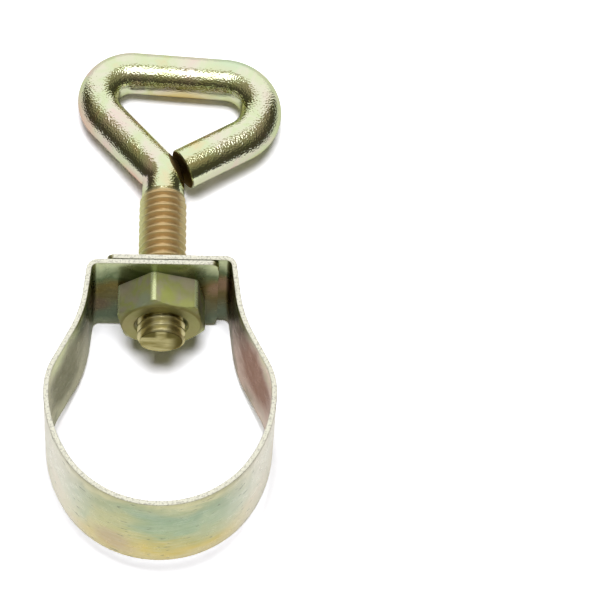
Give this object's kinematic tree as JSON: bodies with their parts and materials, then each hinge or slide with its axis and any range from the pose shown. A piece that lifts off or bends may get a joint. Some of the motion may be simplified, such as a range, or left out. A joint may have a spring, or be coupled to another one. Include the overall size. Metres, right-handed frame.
{
  "type": "pole clamp",
  "caption": "Zinc-plated steel pole clamp with yellow passivation: a bent strip ring whose eye bolt runs through a hexagon nut under its laps and presses its tip on the pole",
  "frame": {"origin": "on the pole's axis, at the band's lower edge", "axes": "+Z along the pole's axis across the strip's width, +Y from the pole towards the eye along the bolt, +X to the eye's shorter side"},
  "size_m": [0.0288, 0.0675, 0.015],
  "materials": {
    "zinc_strip": "yellow passivated zinc, satin, faintly iridescent",
    "zinc_rod": "yellow passivated zinc, glossy",
    "zinc_nut": "yellow passivated zinc, satin"
  },
  "bodies": {
    "band": {"clamp_band": "zinc_strip"},
    "nut": {"hex_nut": "zinc_nut"},
    "bolt": {"eye_bolt": "zinc_rod"}
  },
  "joints": [
    {"name": "nut_turn", "type": "hinge", "parent": "band", "child": "nut", "pos_m": [0, 0.0171, 0.0075], "axis": [0, 1, 0], "range_deg": [-720.01, 5040.01]},
    {"name": "bolt_travel", "type": "slide", "parent": "band", "child": "bolt", "axis": [0, -1, 0], "range_m": [-0.002, 0.014]}
  ],
  "couplings": [
    {"joint": "nut_turn", "follows": "bolt_travel", "rad_per_m": 6283.2}
  ]
}
